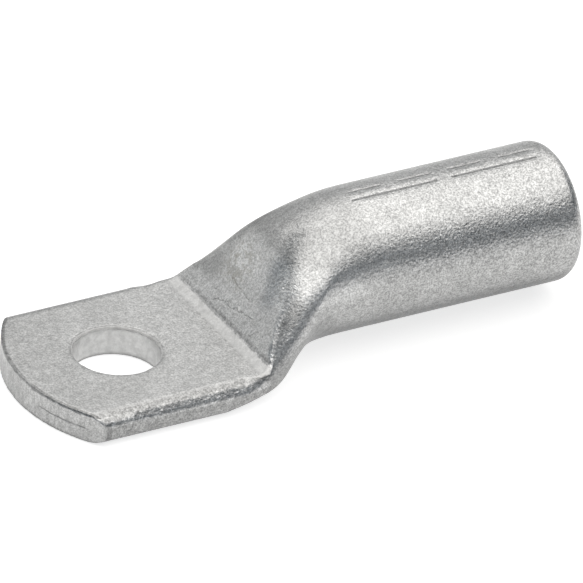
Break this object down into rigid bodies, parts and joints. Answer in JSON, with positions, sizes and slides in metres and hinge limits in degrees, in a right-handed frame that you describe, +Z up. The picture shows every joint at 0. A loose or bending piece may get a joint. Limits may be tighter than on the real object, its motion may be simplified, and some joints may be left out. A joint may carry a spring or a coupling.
{
  "type": "copper cable lug",
  "caption": "Tinned copper tubular cable lug: a round barrel for crimping onto a stripped cable, pressed flat into a palm with a stud hole.",
  "frame": {"origin": "centre of the stud hole at the palm's underside", "axes": "+X along the barrel to its open mouth, +Z up through the stud hole, out of the palm's upper face"},
  "size_m": [0.0882, 0.0324, 0.022],
  "materials": {
    "tin": "matt electroplated tin over copper, with a fine grain and light handling marks"
  },
  "bodies": {
    "root": {"lug_body": "tin"}
  },
  "joints": []
}
